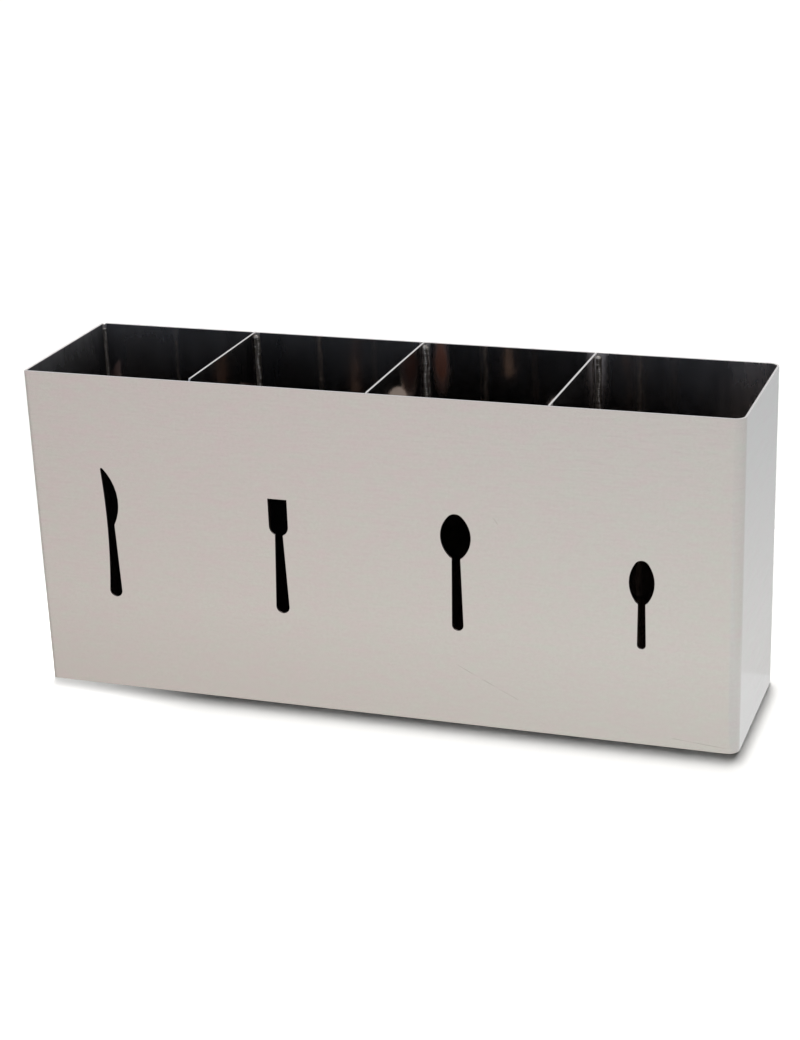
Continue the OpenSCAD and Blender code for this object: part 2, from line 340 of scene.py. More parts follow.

# %% [markdown]
# ## Bright inside: what the heat left, and a painted reflection
# Around each weld the heat has left a pale matt stripe and a wider brown one. Each fades between two
# limits, counted in its own width. To the right of the middle divider's rear bead a reddish-brown patch is
# painted, three times as tall as wide: a painted reflection of a spoon mirrored in the sheets. Its distances
# are measured after its height has been squeezed. The middle divider's right face is browned behind a
# slanted line.

# %% Colours of the inside
MATT_WIDTHS = [1.4 * MM, 2.0 * MM, 2.8 * MM, 5.0 * MM]
BROWN_WIDTHS = [11 * MM, 14 * MM, 5 * MM, 8 * MM]
MATT_FADES = (0.3, 1.6)
MATT_STRENGTH = 1.3
BROWN_FADES = (0.75, 1.3)
FINE_PITCH = 1.2 * MM
FINE_LENGTH = 40 * MM
HEAT_BROWN = "#4f4240"
TINT_BESIDE_WELD = 9.5 * MM
TINT_BELOW_RIM = 12 * MM
TINT_TALLER = 3.2
TINT_RAGGED = 2 * MM
TINT_FULL = 2.5 * MM
TINT_ENDS = 6.8 * MM
HEAT_SLANT = 0.6
HEAT_BELOW_RIM = 26 * MM
HEAT_STARTS_Y = 17 * MM
HEAT_FULL_Y = 21 * MM

matt_marks = spread(tree, widths_from_weld(MATT_WIDTHS), MATT_STRENGTH, 0.0, MATT_FADES)
matt_marks = product(tree, matt_marks, near_rim)
brown_marks = spread(tree, widths_from_weld(BROWN_WIDTHS), 1.0, 0.0, BROWN_FADES)
fine = streaks(tree, place, (FINE_PITCH, FINE_PITCH, FINE_LENGTH), 3.0)
steel_tone = blend_colours(tree, spread(tree, fine, 0.0, 1.0), "#aca199", "#b4aaa3")
browned = blend_colours(tree, brown_marks, steel_tone, HEAT_BROWN)

squeeze = Vector((1, 1, 1 / TINT_TALLER))
tint_centre = Vector((middle_weld_x + TINT_BESIDE_WELD, inner_back, rim - TINT_BELOW_RIM)) * squeeze
from_tint = calc_vector(tree, "DISTANCE", calc_vector(tree, "MULTIPLY", place, squeeze), tint_centre)
from_tint = calc(tree, "MULTIPLY_ADD", ragged, TINT_RAGGED, from_tint)
heat_tint = spread(tree, from_tint, 1.0, 0.0, (TINT_FULL, TINT_ENDS))
# Painted reflection: this patch is painted reddish-brown in place of a spoon mirrored in the sheets.
browned = blend_colours(tree, heat_tint, browned, "#a5694f")

heat_line = calc_vector(tree, "DOT_PRODUCT", place, (0, 1, HEAT_SLANT))
heat_offset = HEAT_SLANT * (rim - HEAT_BELOW_RIM)
behind_line = spread(tree, heat_line, 0.0, 1.0, (heat_offset + HEAT_STARTS_Y, heat_offset + HEAT_FULL_Y))
browned = blend_colours(tree, product(tree, middle_face, behind_line), browned, HEAT_BROWN)
tree.links.new(blend_colours(tree, matt_marks, browned, "#ccc5bf"), shader.inputs["Base Color"])
# The patch named here is the painted reflection of a mirrored spoon.
print("the heat tint stands", TINT_BESIDE_WELD / MM, "mm right of the middle weld")

# %% [markdown]
# ## Bright inside: shine and waviness
# Fine upright streaks vary the shine a little, and hands have dulled the far right end. The matt stripes
# and the painted reflection patch are rougher still. The sheet isn't quite flat either. It is wavy, and
# between the middle and the right divider the back leans by about a degree, which lifts the mirrored spoon's
# bowl into view.

# %% Shine and waviness
BRIGHT_ROUGHNESS = (0.03, 0.055)
HANDLED_ROUGHER = 0.3
MATT_ROUGHER = 0.75
TINT_ROUGHER = 0.6
SMEAR_WIDTH = 12 * MM
SMEAR_HEIGHT = 40 * MM
HANDLED_STARTS_X = 150 * MM
HANDLED_FULL_X = 185 * MM
WAVE_SIZE = 55 * MM
WAVE_DEPTH = 0.1 * MM
LEAN_DOWN = math.tan(math.radians(1.2))
LEAN_LEFT = math.tan(math.radians(1.0))

smears = streaks(tree, place, (SMEAR_WIDTH, SMEAR_WIDTH, SMEAR_HEIGHT), 3.0)
far_right = spread(tree, split.outputs["X"], 0.0, 1.0, (HANDLED_STARTS_X, HANDLED_FULL_X))
handled = product(tree, far_right, spread(tree, smears, 0.5, 1.0))
dull = calc(tree, "MULTIPLY_ADD", handled, HANDLED_ROUGHER, spread(tree, fine, *BRIGHT_ROUGHNESS))
dull = calc(tree, "MULTIPLY_ADD", matt_marks, MATT_ROUGHER, dull)
dull = calc(tree, "MULTIPLY_ADD", heat_tint, TINT_ROUGHER, dull, clamp=True)
tree.links.new(dull, shader.inputs["Roughness"])

lean = calc_vector(tree, "DOT_PRODUCT", place, (LEAN_LEFT, 0, LEAN_DOWN))
waves = streaks(tree, place, [WAVE_SIZE] * 3, 1.0)
height_off_flat = calc(tree, "MULTIPLY_ADD", waves, WAVE_DEPTH, product(tree, lean, third_back))
emboss(tree, shader, height_off_flat, 1.0, 1.0)
print("waves of", WAVE_DEPTH / MM, "mm over", WAVE_SIZE / MM, "mm")

# %% [markdown]
# ## Bright inside: the veil
# Fine dirt and finger marks scatter a little of the light from above. A rough coat over the metal gives
# that blue-grey veil, thickest along the rim and towards both ends. The back and the left panel wear it in
# full, the back of the third compartment about three fifths, and every other face a third.

# %% Veil of dust and finger marks
VEIL_ROUGHNESS = 0.6
VEIL_IOR = 2.3
VEIL_MIDDLE_X = 115 * MM
VEIL_END_X = 180 * MM
VEIL_MIDDLE_SHARE = 0.65
VEIL_LEAST = 0.35
CLEANER_THIRD = -0.6

from_centre = calc(tree, "ABSOLUTE", split.outputs["X"])
near_ends = spread(tree, from_centre, VEIL_MIDDLE_SHARE, 1.0, (VEIL_MIDDLE_X, VEIL_END_X))
touched = calc(tree, "MULTIPLY_ADD", third_back, CLEANER_THIRD, calc(tree, "ADD", on_back, on_panel))
veil = product(tree, product(tree, near_rim, near_ends), spread(tree, smears, 0.7, 1.2))
veil = product(tree, veil, spread(tree, touched, VEIL_LEAST, 1.0, (0, 1)))
tree.links.new(veil, shader.inputs["Coat Weight"])
shader.inputs["Coat Roughness"].default_value = VEIL_ROUGHNESS
shader.inputs["Coat IOR"].default_value = VEIL_IOR
print("the inside's finish has", len(tree.nodes), "nodes")

# %% [markdown]
# ## Cut edges and weld metal
# The rim, the dividers' tops and the walls of the silhouettes are sheared or laser-cut edges, deburred by
# hand: brighter and rougher than the faces. The weld metal is filler, smooth and dark where it mirrors
# the box. Only its rippled crest is matt, and it is painted near-white: a painted highlight along the thin
# crooked line that shines. An attribute says where that is.

# %% Deburred edges and weld metal
FILE_MARK_SIZE = 0.6 * MM
FILE_MARK_DEPTH = 0.02 * MM
EDGE_ROUGHNESS = (0.24, 0.38)
SAND_SIZE = 0.5 * MM
PIT_DEPTH = 0.03 * MM
PATCH_WIDTH = 3 * MM
PATCH_HEIGHT = 5 * MM
SPECK_WIDTH = 1.1 * MM
SPECK_HEIGHT = 1.8 * MM
CREST_SPECKS = (0.4, 0.6)
FILLER_ROUGHNESS = (0.28, 0.4)
CREST_ROUGHER = 0.3

edge_finish, tree, shader, place = new_finish("deburred_cut_edge")
file_marks = streaks(tree, place, [FILE_MARK_SIZE] * 3, 3.0)
edge_tone = blend_colours(tree, spread(tree, file_marks, 0.0, 1.0), "#cfc9c3", "#dad5cf")
tree.links.new(edge_tone, shader.inputs["Base Color"])
tree.links.new(spread(tree, file_marks, *EDGE_ROUGHNESS), shader.inputs["Roughness"])
emboss(tree, shader, file_marks, FILE_MARK_DEPTH, 0.6)

weld_finish, tree, shader, place = new_finish("brushed_weld_metal")
sandy = streaks(tree, place, [SAND_SIZE] * 3, 4.0)
patches = streaks(tree, place, (PATCH_WIDTH, PATCH_WIDTH, PATCH_HEIGHT), 2.0)
specks = streaks(tree, place, (SPECK_WIDTH, SPECK_WIDTH, SPECK_HEIGHT), 2.0)
crest_line = add(tree, "ShaderNodeAttribute", attribute_name="crest").outputs["Fac"]
crest_share = product(tree, crest_line, spread(tree, specks, 0.1, 1.3, CREST_SPECKS))
filler_tone = blend_colours(tree, spread(tree, patches, 0.0, 1.0), "#a0978c", "#b8b1a4")
# Painted highlight: the speckled crest is painted near-white as well as made rougher.
tree.links.new(blend_colours(tree, crest_share, filler_tone, "#e6e0d6"), shader.inputs["Base Color"])
weld_roughness = spread(tree, sandy, *FILLER_ROUGHNESS)
weld_roughness = calc(tree, "MULTIPLY_ADD", crest_share, CREST_ROUGHER, weld_roughness)
tree.links.new(weld_roughness, shader.inputs["Roughness"])
emboss(tree, shader, sandy, PIT_DEPTH, 0.5)
print("finishes:", [m.name for m in (satin, bright, edge_finish, weld_finish)])

# %% [markdown]
# ## From CAD node to dressed sheet
# A CAD node is made of loose triangles with knife-sharp edges. A real sheet has a small deburred edge that
# catches a line of light. So each sheet is copied, its doubles are merged, its flat faces are dissolved
# into whole ones, and a narrow bevel goes round every sharp edge. Weighted normals keep the large faces
# flat to the eye right up to the folds.

# %% Copy a CAD sheet and soften its edges
MERGE = 0.002 * MM
FLAT = math.radians(0.5)
DEBURR = 0.08 * MM
SHARP = math.radians(40)


def sheet_copy(node, name):
    """A merged copy of a CAD sheet, with whole flat faces."""
    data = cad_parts[node].data.copy()
    data.name = name
    data.materials.clear()
    piece = bpy.data.objects.new(name, data)
    bpy.context.scene.collection.objects.link(piece)
    activate(piece)
    bpy.ops.mesh.customdata_custom_splitnormals_clear()
    bpy.ops.object.mode_set(mode="EDIT")
    bpy.ops.mesh.select_all(action="SELECT")
    bpy.ops.mesh.remove_doubles(threshold=MERGE)
    bpy.ops.mesh.dissolve_limited(angle_limit=FLAT)
    bpy.ops.object.mode_set(mode="OBJECT")
    return piece


def cut_away(point, kept_side):
    """Bisects the mesh in edit mode and keeps one side of the cut, closed with a flat face."""
    bpy.ops.mesh.select_all(action="SELECT")
    bpy.ops.mesh.bisect(plane_co=point, plane_no=kept_side, use_fill=True, clear_inner=True)


def clip_corner(piece, corner, size, kept_side):
    """Clips a corner of a sheet by a slanted cut that starts the given distance below the corner."""
    activate(piece)
    bpy.ops.object.mode_set(mode="EDIT")
    cut_away(corner - Vector((0, 0, size)), kept_side)
    bpy.ops.object.mode_set(mode="OBJECT")
    print(piece.name, "has a corner clipped by", round(size / MM, 2), "mm")


def give_finishes(piece, finishes, chosen):
    """Gives each face the finish that chosen(face) numbers."""
    for finish in finishes:
        piece.data.materials.append(finish)
    for face in piece.data.polygons:
        face.material_index = chosen(face)


def deburr(piece):
    """Bevels every sharp edge by a hand-deburred width and smooths the folds."""
    activate(piece)
    bpy.ops.object.modifier_add(type="BEVEL")
    bevel = piece.modifiers[-1]
    bevel.width = DEBURR
    bevel.segments = 2
    bevel.limit_method = "ANGLE"
    bevel.angle_limit = SHARP
    bpy.ops.object.modifier_apply(modifier=bevel.name)
    bpy.ops.object.shade_smooth_by_angle(angle=SHARP)
    bpy.ops.object.modifier_add(type="WEIGHTED_NORMAL")
    weighted = piece.modifiers[-1]
    weighted.keep_sharp = True
    weighted.weight = 100
    bpy.ops.object.modifier_apply(modifier=weighted.name)


def hand_in(piece, slot, *nodes):
    """Rides a finished piece on the box and hides the CAD nodes that it stands for. The slot is not used."""
    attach(piece, "root")
    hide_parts(*nodes)
    print(piece.name, "has", len(piece.data.polygons), "faces")


# %% [markdown]
# ## The folded casing
# The front, the right side and the back are one sheet. Which finish a face gets depends on where it lies:
# on the outer skin, on the inner skin, or in between, which makes it a cut edge. The depth below the outer
# skin is worked out from the plan of the box with its two round folds. At the rear left, where the sheet
# begins, its top corner was filed off after welding. The cut leans a little, so it misses the front.
# Light that the floor scatters doesn't see the casing or the left panel, so they don't brighten the foot
# of their own shadow.

# %% Folded casing
OUTSIDE, INSIDE, EDGE = 0, 1, 2
UPRIGHT = 0.5
SKIN_TOLERANCE = 0.05 * MM
CASING_CLIP = 1.1 * MM
CASING_KEPT_SIDE = Vector((1, -0.03, -1))


def depth_below_skin(point):
    """Distance of a point in from the outer skin of the folded sheet."""
    across = abs(point.y)
    into_fold_x = point.x - (outer_right - bend_radius)
    into_fold_y = across - (outer_back - bend_radius)
    if into_fold_x > 0 and into_fold_y > 0:
        return bend_radius - math.hypot(into_fold_x, into_fold_y)
    return min(outer_right - point.x, outer_back - across)


def casing_finish(face):
    depth = depth_below_skin(face.center)
    if abs(face.normal.z) < UPRIGHT and depth < SKIN_TOLERANCE:
        return OUTSIDE
    if abs(face.normal.z) < UPRIGHT and abs(depth - sheet) < SKIN_TOLERANCE:
        return INSIDE
    return EDGE


casing = sheet_copy("casing", "folded_casing")
clip_corner(casing, Vector((casing_low.x, outer_back, rim)), CASING_CLIP, CASING_KEPT_SIDE)
give_finishes(casing, (satin, bright, edge_finish), casing_finish)
deburr(casing)
casing.visible_diffuse = False
hand_in(casing, "brushed_sheet", "casing")

# %% [markdown]
# ## Left panel, base plate and dividers
# These are flat blanks. The panel's outer face and its ground edges are satin like the casing, and its
# rear top corner is filed off too. The dividers are bright on both faces and the base plate on top, as
# the sheet came. The left divider's front top corner is clipped, so its end shows above the front's rim.

# %% Flat sheets
FACING = 0.9
PANEL_CLIP = 1.6 * MM
PANEL_KEPT_SIDE = Vector((0, -1, -1))
DIVIDER_CLIP = 7.5 * MM
DIVIDER_KEPT_SIDE = Vector((0, 1, -0.6))


def panel_finish(face):
    if face.normal.x > FACING:
        return INSIDE
    return EDGE if abs(face.normal.z) > FACING else OUTSIDE


def divider_finish(face):
    return INSIDE if abs(face.normal.x) > FACING else EDGE


def base_finish(face):
    if face.normal.z > FACING:
        return INSIDE
    return OUTSIDE if face.normal.z < -FACING else EDGE


for node, name, chosen in [("left_end_panel", "left_end_sheet", panel_finish),
                           ("base_plate", "base_sheet", base_finish),
                           ("left_divider", "left_divider_sheet", divider_finish),
                           ("middle_divider", "middle_divider_sheet", divider_finish),
                           ("right_divider", "right_divider_sheet", divider_finish)]:
    blank = sheet_copy(node, name)
    if node == "left_end_panel":
        clip_corner(blank, Vector((panel_low.x, outer_back, rim)), PANEL_CLIP, PANEL_KEPT_SIDE)
        blank.visible_diffuse = False
    if node == "left_divider":
        clip_corner(blank, Vector((0, -inner_back, rim)), DIVIDER_CLIP, DIVIDER_KEPT_SIDE)
    give_finishes(blank, (satin, bright, edge_finish), chosen)
    deburr(blank)
    hand_in(blank, "brushed_sheet", node)

# %% [markdown]
# ## Weld beads
# A hand-fed bead is uneven, and small frozen ripples run along its crest in a thin crooked line, which is
# what shines. It starts as a cylinder laid along the corner, whose ends are rounded with a bevel. Two
# bisects trim off most of what lies inside the sheets, and the long edges are cut into fine rings, first
# into 20 parts and then each of those into 30. One Displace modifier makes the bead uneven and a second
# presses in the ripples, but only where a vertex group says that the crest is. Last, two bisects cut the
# bead off at the sheets' faces and two at its ends, which leaves the fillet. The crest's width is an angle
# in radians around the bead. The ripples' texture repeats after a fixed length, which is scaled to their
# pitch, and it is stretched across the bead.

# %% Weld bead helper
RIPPLE_PITCH = 1.2 * MM
RIPPLE_DEPTH = 0.3 * MM
FILLET_MIDDLE = 45
CREST_HALF_WIDTH = 0.15
CREST_WANDER = math.radians(6)
CREST_SWING = 3.1 * MM
UNEVEN = 0.55 * MM
UNEVEN_LENGTH = 2.6 * MM
UNEVEN_LEG = 2.6 * MM
BANDS_PERIOD = 2 * math.pi / 10
STRETCHED_ACROSS = 8
TRIM = 0.9 * MM
SIDES_AROUND = 72
BURIED_SHARE = 0.55
END_ROUNDING = 0.75
RINGS = (20, 30)
LEVEL_EDGE = 0.1 * MM
ALONG_SHARE = 0.98
BEAD_SHARP = math.radians(50)

ripple_texture = bpy.data.textures.new("weld_ripples", "WOOD")
ripple_texture.wood_type = "BANDNOISE"
ripple_texture.noise_scale = 0.6
ripple_texture.turbulence = 2.0
uneven_texture = bpy.data.textures.new("uneven_feed", "CLOUDS")
uneven_texture.noise_scale = UNEVEN_LENGTH
uneven_texture.noise_depth = 2


def select_edges(piece, chosen):
    """Selects, in edit mode, only the edges that chosen(first end, second end) says yes to."""
    bpy.ops.mesh.select_mode(type="EDGE")
    bpy.ops.mesh.select_all(action="DESELECT")
    bpy.ops.object.mode_set(mode="OBJECT")
    points = piece.data.vertices
    for edge in piece.data.edges:
        edge.select = chosen(*(points[i].co for i in edge.vertices))
    bpy.ops.object.mode_set(mode="EDIT")


def cut_rings(bead, axis, count):
    """Cuts every long edge that runs along the bead into count parts."""
    select_edges(bead, lambda a, b: abs((b - a).dot(axis)) > max(ALONG_SHARE * (b - a).length, RIPPLE_PITCH))
    bpy.ops.mesh.subdivide(number_cuts=count - 1)


def mark_crest(bead, start, along, first_side, second_side, leg, crests):
    """Weighs each vertex by how near it is to a wandering crest line, in a vertex group and an attribute."""
    shares = []
    for vertex in bead.data.vertices:
        offset = vertex.co - start
        around = math.atan2(offset.dot(second_side) + leg / 2, offset.dot(first_side) + leg / 2)
        wander = CREST_WANDER * math.sin((offset.dot(along) + start.x) / CREST_SWING)
        away = min(abs(around - wander - math.radians(FILLET_MIDDLE + crest)) for crest in crests)
        shares.append(max(0.0, 1 - away / CREST_HALF_WIDTH))
    group = bead.vertex_groups.new(name="crest_group")
    for index, share in enumerate(shares):
        group.add([index], share, "REPLACE")
    bead.data.attributes.new("crest", "FLOAT", "POINT").data.foreach_set("value", shares)
    return group.name


def displace(bead, texture, strength, scale=(1, 1, 1), group=""):
    """Presses a texture into the bead. Scale stretches the texture along X, Y and Z."""
    ruler = bpy.data.objects.new("ruler", None)
    bpy.context.scene.collection.objects.link(ruler)
    ruler.scale = scale
    bpy.context.view_layer.update()
    activate(bead)
    bpy.ops.object.modifier_add(type="DISPLACE")
    press = bead.modifiers[-1]
    press.texture = texture
    press.texture_coords = "OBJECT"
    press.texture_coords_object = ruler
    press.strength = strength
    press.vertex_group = group
    press.mid_level = 0.5
    bpy.ops.object.modifier_apply(modifier=press.name)
    bpy.data.objects.remove(ruler)


def weld_bead(name, start, end, first_side, second_side, leg, crests=(0,)):
    """A fillet along the corner from start to end. Each side points from a sheet's face into the open.
    Crests are counted in degrees from the fillet's middle, towards the second side if positive."""
    along = (end - start).normalized()
    length = (end - start).length
    behind = BURIED_SHARE * leg
    radius = math.hypot(leg + behind, behind)
    middle = (start + end) / 2 - (first_side + second_side) * behind
    bpy.ops.object.select_all(action="DESELECT")
    bpy.ops.mesh.primitive_cylinder_add(vertices=SIDES_AROUND, radius=radius, depth=length, location=middle,
                                        rotation=along.to_track_quat("Z", "Y").to_euler())
    bead = bpy.context.object
    bead.name = bead.data.name = name
    bpy.ops.object.transform_apply(location=True, rotation=True, scale=True)
    bpy.ops.object.mode_set(mode="EDIT")
    select_edges(bead, lambda a, b: abs((b - a).dot(along)) < LEVEL_EDGE)
    bpy.ops.mesh.bevel(offset=END_ROUNDING * leg, segments=8, affect="EDGES")
    cut_away(start - first_side * TRIM, first_side)
    cut_away(start - second_side * TRIM, second_side)
    for count in RINGS:
        cut_rings(bead, along, count)
    bpy.ops.object.mode_set(mode="OBJECT")
    period = RIPPLE_PITCH / BANDS_PERIOD
    crest = mark_crest(bead, start, along, first_side, second_side, leg, crests)
    displace(bead, uneven_texture, UNEVEN * leg / UNEVEN_LEG)
    stretch = [period if abs(a) > 0.5 else STRETCHED_ACROSS * period for a in along]
    displace(bead, ripple_texture, RIPPLE_DEPTH, stretch, crest)
    bpy.ops.object.mode_set(mode="EDIT")
    cut_away(start, first_side)
    cut_away(start, second_side)
    cut_away(start, along)
    cut_away(end, -along)
    bpy.ops.mesh.select_all(action="SELECT")
    bpy.ops.mesh.remove_doubles(threshold=MERGE)
    bpy.ops.mesh.normals_make_consistent(inside=False)
    bpy.ops.object.mode_set(mode="OBJECT")
    bead.data.materials.clear()
    bead.data.materials.append(weld_finish)
    bpy.ops.object.shade_smooth_by_angle(angle=BEAD_SHARP)
    return bead


# %% [markdown]
# ## The upright beads
# Each divider is held by a bead on its right, at the front and at the back, and the left panel by one in
# each corner. They run from the base plate to just under the rim, as the CAD node's box says. Behind the
# middle divider the welder went over the seam twice, which left two crests side by side.

# %% Upright beads
TWO_PASSES = (-17, 14)
REAR_RISE = 1.3 * MM
RIGHTWARDS, LEFTWARDS = Vector((1, 0, 0)), Vector((-1, 0, 0))
FORWARDS, BACKWARDS = Vector((0, -1, 0)), Vector((0, 1, 0))
DOWNWARDS = Vector((0, 0, -1))

corner_welds = ["front_corner_weld", "rear_corner_weld"]
divider_welds = [f"{name}_{side}_weld" for name in divider_names for side in ("front", "rear")]
for node in corner_welds + divider_welds:
    low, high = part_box(node)
    at_back = high.y > 0
    corner_y = high.y if at_back else low.y
    top = high.z + REAR_RISE if at_back and node in divider_welds else high.z
    bead = weld_bead(node.replace("_weld", "_bead"), Vector((low.x, corner_y, low.z)),
                     Vector((low.x, corner_y, top)), RIGHTWARDS, FORWARDS if at_back else BACKWARDS,
                     high.x - low.x, TWO_PASSES if node == "middle_divider_rear_weld" else (0,))
    hand_in(bead, "weld_metal", node)

# %% [markdown]
# ## The beads under the base
# The base plate is let in a little, and four shorter beads hold it to the walls from below. They are made
# with the same helper and joined, because the CAD model has them as one node.

# %% Beads under the base
BASE_WELD_COVER = 0.9

under_low, under_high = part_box("base_welds")
base_leg = under_high.z - under_low.z
long_half = BASE_WELD_COVER * (inner_right - inner_left - 2 * bend_radius) / 2
short_half = BASE_WELD_COVER * (2 * inner_back - 2 * bend_radius) / 2
under_beads = []
for side, inward in ((-1, BACKWARDS), (1, FORWARDS)):
    corner = Vector((0, side * inner_back, base_underside))
    under_beads.append(weld_bead("under", corner - RIGHTWARDS * long_half, corner + RIGHTWARDS * long_half,
                                 inward, DOWNWARDS, base_leg))
for side, inward in ((-1, RIGHTWARDS), (1, LEFTWARDS)):
    corner = Vector((side * inner_right, 0, base_underside))
    under_beads.append(weld_bead("under", corner - BACKWARDS * short_half, corner + BACKWARDS * short_half,
                                 inward, DOWNWARDS, base_leg))
activate(under_beads[0])
for bead in under_beads:
    bead.select_set(True)
bpy.ops.object.join()
base_beads = bpy.context.object
base_beads.name = base_beads.data.name = "base_beads"
hand_in(base_beads, "weld_metal", "base_welds")

# %% [markdown]
# ## Floor
# The box stands on a pale floor that the light washes out to white. The floor isn't part of the object.
# Glossy rays don't see it, so the sheets mirror the even light of the tent and not the shadow.

# %% Pale floor
FLOOR_SIZE = 30
FLOOR_GAP = 0.02 * MM

bpy.ops.object.select_all(action="DESELECT")
bpy.ops.mesh.primitive_plane_add(size=FLOOR_SIZE, location=(0, 0, -FLOOR_GAP))
floor = bpy.context.object
floor.name = "pale_floor"
floor_paint = bpy.data.materials.new("pale_floor")
floor_paint.use_nodes = True
floor_shader = floor_paint.node_tree.nodes["Principled BSDF"]
floor_shader.inputs["Base Color"].default_value = linear("#f2f1ef")
floor_shader.inputs["Roughness"].default_value = 0.9
floor_shader.inputs["Specular IOR Level"].default_value = 0.0
floor.data.materials.append(floor_paint)
floor.visible_glossy = False
print("the floor lies", FLOOR_GAP / MM, "mm under the box")

# %% [markdown]
# ## The tent
# A white tent surrounds the box, and what the satin sheet shows is mostly that tent. Two colour ramps hold
# its brightness by compass bearing: one for rays that leave steeply downwards, from low on the box, and
# one for flatter rays, from near the rim. Bearings are counted from the front, to the right if positive.
# The folded corner squeezes half the tent into a few thin upright lines. Above the horizon there is only a
# ceiling, bluish towards the front and white towards the back.

# %% Tent
LOW_TENT = [(-180, "#ebecee"), (-150, "#e4e6e8"), (-60, "#bab8b5"), (-28, "#f8f3f1"), (-10, "#fffffe"),
            (30, "#efe3d9"), (50, "#fff8ee"), (90, "#fffffb"), (130, "#ffffff"), (170, "#f6f7f8"),
            (180, "#ebecee")]
HIGH_TENT = [(-180, "#d5d8dc"), (-150, "#d0d4d8"), (-60, "#bab8b5"), (-28, "#eee7e9"), (-20, "#f2ebee"),
             (-10, "#e9e8ea"), (5, "#e6e4e6"), (30, "#ddc3b5"), (50, "#e6d0be"), (70, "#dfcfc0"),
             (85, "#cfc8bc"), (112, "#bdbdb2"), (127, "#d3d3ca"), (150, "#efefea"), (170, "#e8eaeb"),
             (180, "#d5d8dc")]
SLOPES_LOW_TO_HIGH = (-0.40, -0.30)
SLOPES_TO_CEILING = (-0.1, 0.1)
CEILING_FRONT_TO_BACK = (-0.6, 0.3)

world = bpy.data.worlds.new("white_tent")
bpy.context.scene.world = world
world.use_nodes = True
tree = world.node_tree
tree.nodes.clear()
ray = add(tree, "ShaderNodeTexCoord").outputs["Generated"]
direction = add(tree, "ShaderNodeSeparateXYZ", {"Vector": ray})
bearing = calc(tree, "ARCTAN2", direction.outputs["X"], calc(tree, "MULTIPLY", direction.outputs["Y"], -1.0))
turn = spread(tree, bearing, 0.0, 1.0, (-math.pi, math.pi))


def bearing_ramp(stops):
    """A colour ramp over the compass bearing, from (degrees, hex colour) pairs."""
    ramp = add(tree, "ShaderNodeValToRGB", {"Fac": turn})
    elements = ramp.color_ramp.elements
    while len(elements) > 1:
        elements.remove(elements[0])
    for index, (angle, colour) in enumerate(stops):
        stop = elements[0] if index == 0 else elements.new(0.5)
        stop.position = (angle + 180) / 360
        stop.color = linear(colour)
    return ramp.outputs["Color"]


flatter = spread(tree, direction.outputs["Z"], 0.0, 1.0, SLOPES_LOW_TO_HIGH)
walls = blend_colours(tree, flatter, bearing_ramp(LOW_TENT), bearing_ramp(HIGH_TENT))
rearward = spread(tree, direction.outputs["Y"], 0.0, 1.0, CEILING_FRONT_TO_BACK)
ceiling = blend_colours(tree, rearward, "#a0a9bb", "#f6f9ff")
tent = blend_colours(tree, spread(tree, direction.outputs["Z"], 0.0, 1.0, SLOPES_TO_CEILING), walls, ceiling)
glow = add(tree, "ShaderNodeBackground", {"Color": tent, "Strength": 1.0})
add(tree, "ShaderNodeOutputWorld", {"Surface": glow.outputs["Background"]})
world.cycles_visibility.diffuse = False
print("the tent has", len(LOW_TENT), "low and", len(HIGH_TENT), "high colours")

# %% [markdown]
# ## The lamps
# A long soft box hangs almost straight above, a little to the back and left, so the shadow is short, dark
# at the foot and soft at its end. A row of four small suns stands for its length, brightest in the middle.
# A fifth, weak and wide, keeps the shadow from going black, and a spot from the front left washes out the
# shadow's left end. The lamps light only the floor: in the sheets the tent alone is mirrored.

# %% Lamps over the floor
BOX_TILTS = {1.3: 0.18, 3.1: 0.40, 4.9: 0.30, 7.2: 0.12}
BOX_LEAN_LEFT = 0.95
BOX_WIDTH = 3.6
KEY_ENERGY = 3.75
FILL_TILT_FRONT = 60
FILL_LEAN_LEFT = 20
FILL_WIDTH = 60
FILL_ENERGY = 0.14
SPOT_PLACE = Vector((-0.55, -0.45, 0.8))
SPOT_AIM = Vector((-0.27, -0.06, 0))
SPOT_CONE = 19.2
SPOT_ENERGY = 30
SPOT_SIZE = 10 * MM


def lamp(name, kind, energy, towards_lamp):
    """A lamp that shines from the given direction, and which metals don't mirror."""
    made = bpy.data.objects.new(name, bpy.data.lights.new(name, kind))
    bpy.context.scene.collection.objects.link(made)
    made.data.energy = energy
    made.rotation_euler = towards_lamp.to_track_quat("Z", "Y").to_euler()
    made.visible_glossy = False
    return made


def sun(name, tilt_back, lean_left, width, energy):
    """A sun that stands off the vertical and is as wide in the sky as the given degrees."""
    towards_lamp = Vector((-math.tan(math.radians(lean_left)), math.tan(math.radians(tilt_back)), 1.0))
    lamp(name, "SUN", energy, towards_lamp).data.angle = math.radians(width)


for tilt, share in BOX_TILTS.items():
    sun(f"soft_box_{tilt}", tilt, BOX_LEAN_LEFT, BOX_WIDTH, KEY_ENERGY * share)
sun("fill", -FILL_TILT_FRONT, FILL_LEAN_LEFT, FILL_WIDTH, FILL_ENERGY)
spot = lamp("left_spot", "SPOT", SPOT_ENERGY, SPOT_PLACE - SPOT_AIM)
spot.location = SPOT_PLACE
spot.data.spot_size = math.radians(SPOT_CONE)
spot.data.spot_blend = 1.0
spot.data.shadow_soft_size = SPOT_SIZE
print("lamps:", len(BOX_TILTS), "suns, a fill and a spot")

# %% [markdown]
# ## A card beside the box
# Low on the right side the sheet is brighter, up to a fairly sharp line that climbs from the back to the
# front. That is the lit floor beside the box, mirrored at a low angle. A white card on the floor stands in
# for it. Only glossy rays see the card. Two helpers make level planes and glowing paint, here and below.

# %% Card on the floor
CARD_BACK = 55 * MM
CARD_FRONT = -400 * MM
CARD_RIGHT = 330 * MM
CARD_HEIGHT = 0.01 * MM


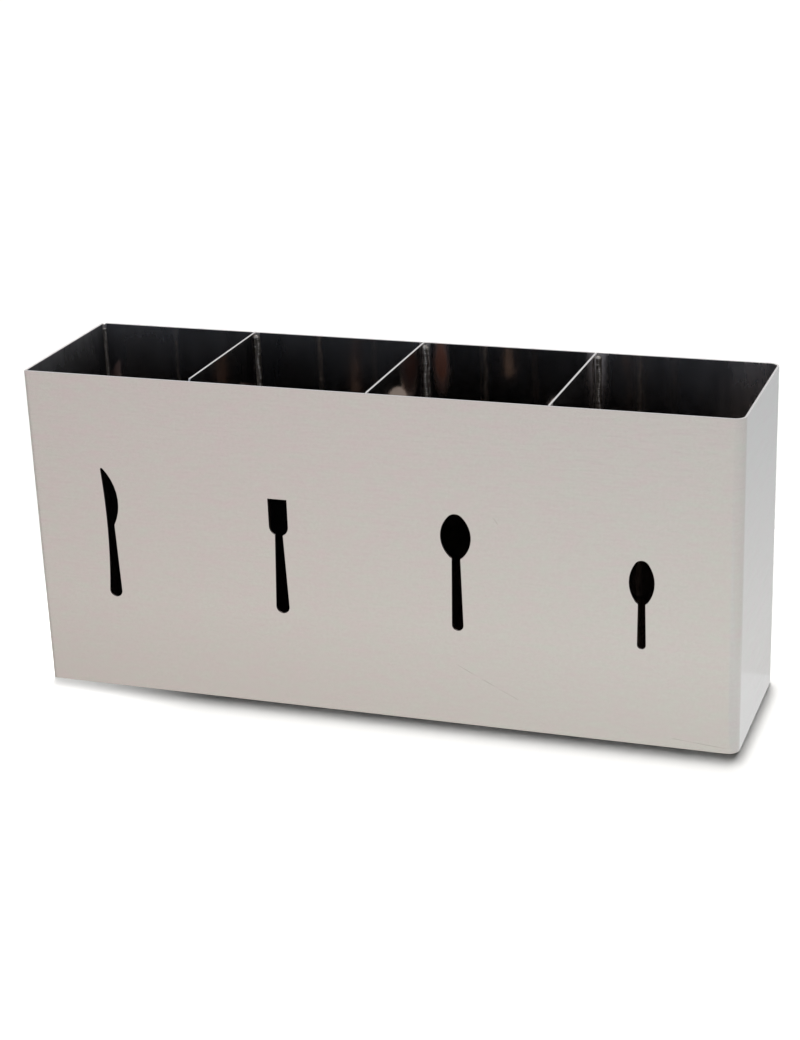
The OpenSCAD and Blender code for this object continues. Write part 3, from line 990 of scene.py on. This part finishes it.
def level_plane(name, x_low, x_high, y_low, y_high, height):
    """A level rectangle between the given limits."""
    bpy.ops.object.select_all(action="DESELECT")
    bpy.ops.mesh.primitive_plane_add(size=1, location=((x_low + x_high) / 2, (y_low + y_high) / 2, height))
    plane = bpy.context.object
    plane.name = name
    plane.scale = (x_high - x_low, y_high - y_low, 1)
    bpy.ops.object.transform_apply(location=True, rotation=False, scale=True)
    return plane


def paint_glowing(piece, hex_colour):
    """Gives a piece a paint that shines evenly by itself."""
    paint = bpy.data.materials.new(piece.name)
    paint.use_nodes = True
    paint.node_tree.nodes.clear()
    shine = add(paint.node_tree, "ShaderNodeEmission", {"Color": linear(hex_colour), "Strength": 1.0})
    add(paint.node_tree, "ShaderNodeOutputMaterial", {"Surface": shine.outputs["Emission"]})
    piece.data.materials.append(paint)


card = level_plane("floor_card", outer_right, CARD_RIGHT, CARD_FRONT, CARD_BACK, CARD_HEIGHT)
paint_glowing(card, "#f5f7fa")
card.visible_camera = card.visible_diffuse = card.visible_shadow = False
print("the card reaches", round((CARD_RIGHT - outer_right) / MM), "mm to the right of the box")

# %% [markdown]
# ## A white backdrop
# From the back or the sides a camera would see the tent over the edge of the floor. A large white dome,
# which only the camera sees, makes that the same plain white as the floor.

# %% White dome
DOME_RADIUS = 14

bpy.ops.object.select_all(action="DESELECT")
bpy.ops.mesh.primitive_uv_sphere_add(segments=64, ring_count=32, radius=DOME_RADIUS, location=(0, 0, 0))
dome = bpy.context.object
dome.name = "white_dome"
paint_glowing(dome, "#ffffff")
dome.visible_diffuse = dome.visible_glossy = dome.visible_shadow = False
print("the dome is", 2 * DOME_RADIUS, "m wide")

# %% [markdown]
# ## A lid for the lamps
# The lamps would also shine through the open top and out of the four silhouettes, and leave bright specks
# in the shadow. The photograph has none, as its long soft light is spread too wide for them. A lid over
# the opening, which only shadow rays see, keeps that light out.

# %% Lid over the opening
lid = level_plane("shadow_lid", inner_left, inner_right, -inner_back, inner_back, rim - sheet)
lid.visible_camera = lid.visible_diffuse = lid.visible_glossy = False
print("the lid lies", round((rim - lid.data.vertices[0].co.z) / MM, 1), "mm below the rim")

# %% [markdown]
# ## Tones and mirrored light
# The colours above were matched without a film curve, so the picture is shown without one too. Light goes
# back and forth between the bright sheets inside, and eight bounces let it fade before it is cut off.

# %% View transform and bounces
bpy.context.scene.view_settings.view_transform = "Standard"
bpy.context.scene.cycles.glossy_bounces = 8
print("glossy bounces:", bpy.context.scene.cycles.glossy_bounces)
